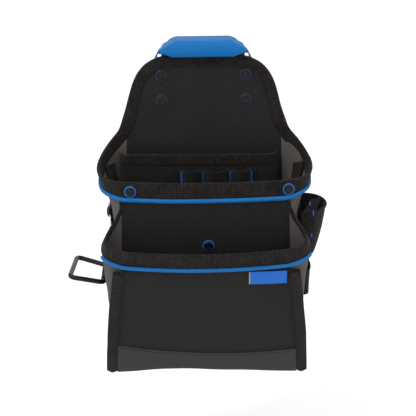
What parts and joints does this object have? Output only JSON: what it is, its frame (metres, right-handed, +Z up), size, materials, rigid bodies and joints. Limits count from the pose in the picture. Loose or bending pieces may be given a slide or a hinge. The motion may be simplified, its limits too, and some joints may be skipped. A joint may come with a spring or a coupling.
{
  "type": "electrician tool pouch",
  "caption": "Black two-pocket fabric tool pouch with blue piping, a blue belt clip, a swinging hammer loop on one side and tool sleeves on the other.",
  "frame": {"origin": "on the underside of the belt clip's bridge, where the top edge of the belt rests, midway between the base plate and the tongue", "axes": "+Z up, +Y towards the wearer, -Y out of the front of the pouch, +X to the right seen from the front"},
  "size_m": [0.2713, 0.1199, 0.3546],
  "materials": {
    "black_weave": "matt ballistic weave",
    "black_tape": "ribbed binding tape and webbing",
    "grey_cloth": "matt grey cloth",
    "dark_vinyl": "soft dark coated sheet",
    "stiffener_board": "flat board",
    "blue_trim": "woven piping, thread and coloured washers",
    "blue_plastic": "satin moulded",
    "blue_label": "close woven label",
    "black_rivet": "black coated",
    "black_rod": "black coated steel rod"
  },
  "bodies": {
    "pouch": {"arch_binding": "black_tape", "back_lining": "black_weave", "back_panel": "black_weave", "back_side_binding_left": "black_tape", "back_side_binding_right": "black_tape", "back_stiffener": "stiffener_board", "bartack_1": "blue_trim", "bartack_2": "blue_trim", "bartack_3": "blue_trim", "bartack_4": "blue_trim", "base_panel": "dark_vinyl", "belt_clip_base": "blue_plastic", "centre_rivet_cap": "black_rivet", "centre_rivet_washer": "blue_trim", "clip_rivet_lower_left_cap": "black_rivet", "clip_rivet_lower_left_washer": "blue_trim", "clip_rivet_lower_right_cap": "black_rivet", "clip_rivet_lower_right_washer": "blue_trim", "clip_rivet_upper_left_cap": "black_rivet", "clip_rivet_upper_left_washer": "blue_trim", "clip_rivet_upper_right_cap": "black_rivet", "clip_rivet_upper_right_washer": "blue_trim", "flag_label": "blue_label", "front_side_binding_left": "black_tape", "front_side_binding_right": "black_tape", "gusset_patch_left": "black_tape", "gusset_patch_right": "black_tape", "hammer_loop_strap": "black_tape", "inner_pocket_binding": "black_tape", "inner_pocket_panel": "black_weave", "lower_front_panel": "black_weave", "lower_gusset_left": "grey_cloth", "lower_gusset_right": "grey_cloth", "lower_rim_binding": "black_tape", "lower_rim_piping": "blue_trim", "lower_slope_binding_left": "black_tape", "lower_slope_binding_right": "black_tape", "rim_rivet_left_cap": "black_rivet", "rim_rivet_left_washer": "blue_trim", "rim_rivet_right_cap": "black_rivet", "rim_rivet_right_washer": "blue_trim", "side_backing_right": "black_tape", "side_sleeve_lower": "black_tape", "side_sleeve_upper": "black_weave", "strap_rivet_cap": "black_rivet", "strap_rivet_washer": "blue_trim", "toe_guard": "dark_vinyl", "tool_loop_strap": "black_tape", "upper_front_panel": "black_weave", "upper_gusset_left": "grey_cloth", "upper_gusset_right": "grey_cloth", "upper_rim_binding": "black_tape", "upper_rim_piping": "blue_trim", "upper_slope_binding_left": "black_tape", "upper_slope_binding_right": "black_tape"},
    "loop": {"hammer_loop": "black_rod"},
    "tongue": {"belt_clip_tongue": "blue_plastic"}
  },
  "joints": [
    {"name": "hammer_loop_swing", "type": "hinge", "parent": "pouch", "child": "loop", "pos_m": [-0.106, -0.0384, -0.236], "axis": [0, 1, 0], "range_deg": [-95, 55]},
    {"name": "belt_clip_flex", "type": "hinge", "parent": "pouch", "child": "tongue", "pos_m": [0, 0.0052, 0.008], "axis": [1, 0, 0], "range_deg": [0, 8], "stiffness_Nm_per_rad": 1.5}
  ]
}
